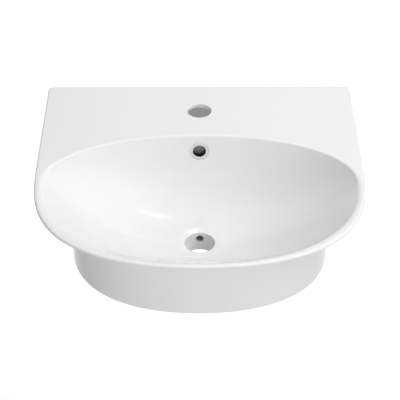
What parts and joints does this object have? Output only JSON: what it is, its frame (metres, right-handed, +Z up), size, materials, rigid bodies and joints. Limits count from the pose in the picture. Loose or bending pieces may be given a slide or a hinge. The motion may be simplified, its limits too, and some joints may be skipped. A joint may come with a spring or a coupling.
{
  "type": "wall-hung basin",
  "caption": "Wall-hung ceramic washbasin with a thin flat rim, an oval bowl, an upright apron, a tap hole, a ringed overflow and its wall fixings.",
  "frame": {"origin": "on the wall plane, midway between the two wall-fixing bolts, 65 mm below the rim", "axes": "+Z up, +Y into the wall, so that the basin hangs on the -Y side and its front faces -Y; X across the basin"},
  "size_m": [0.46, 0.489, 0.13],
  "materials": {
    "glazed_china": "white vitreous china, sprayed and fired glaze",
    "chrome_trim": "polished chrome plate",
    "zinc_steel": "bright zinc plate",
    "grey_nylon": "moulded nylon",
    "white_nylon": "moulded nylon"
  },
  "bodies": {
    "root": {"basin": "glazed_china", "overflow_ring": "chrome_trim", "wall_plug_left": "grey_nylon", "wall_plug_right": "grey_nylon", "hanger_bolt_left": "zinc_steel", "hanger_bolt_right": "zinc_steel", "bush_left": "white_nylon", "bush_right": "white_nylon", "washer_left": "zinc_steel", "washer_right": "zinc_steel", "nut_left": "zinc_steel", "nut_right": "zinc_steel"}
  },
  "joints": []
}
